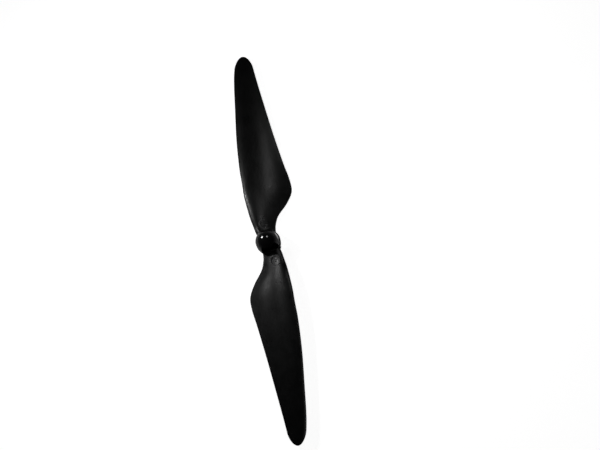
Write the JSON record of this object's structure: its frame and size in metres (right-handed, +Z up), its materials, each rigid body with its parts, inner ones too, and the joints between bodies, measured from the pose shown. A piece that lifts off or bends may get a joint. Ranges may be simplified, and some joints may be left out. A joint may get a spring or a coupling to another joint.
{
  "type": "quadcopter propeller",
  "caption": "Two-bladed black propeller for a quadcopter, with broad roots, rounded tips, a bushed hub and a glossy domed self-locking nut.",
  "frame": {"origin": "centre of the hub's bore, at the seating face under the hub", "axes": "+Z up the spin axis towards the dome, +X from the hub to the tip of the first blade, and the propeller turns from +X towards +Y"},
  "size_m": [0.239, 0.035, 0.0201],
  "materials": {
    "blade_plastic": "satin, fine moulded grain",
    "bush_brass": "turned",
    "washer_steel": "turned",
    "dome_plastic": "polished",
    "core_brass": "turned",
    "ring_nylon": "natural"
  },
  "bodies": {
    "propeller": {"blade_moulding": "blade_plastic", "hub_bush": "bush_brass"},
    "washer": {"thrust_washer": "washer_steel"},
    "lock_nut": {"dome_shell": "dome_plastic", "nut_core": "core_brass", "locking_ring": "ring_nylon"}
  },
  "joints": [
    {"name": "nut_lift", "type": "slide", "parent": "propeller", "child": "washer", "axis": [0, 0, 1], "range_m": [0, 0.0054]},
    {"name": "nut_turn", "type": "hinge", "parent": "washer", "child": "lock_nut", "pos_m": [0, 0, 0.0109], "axis": [0, 0, 1], "range_deg": [0, 2520]}
  ],
  "couplings": [
    {"joint": "nut_turn", "follows": "nut_lift", "rad_per_m": 7854}
  ]
}
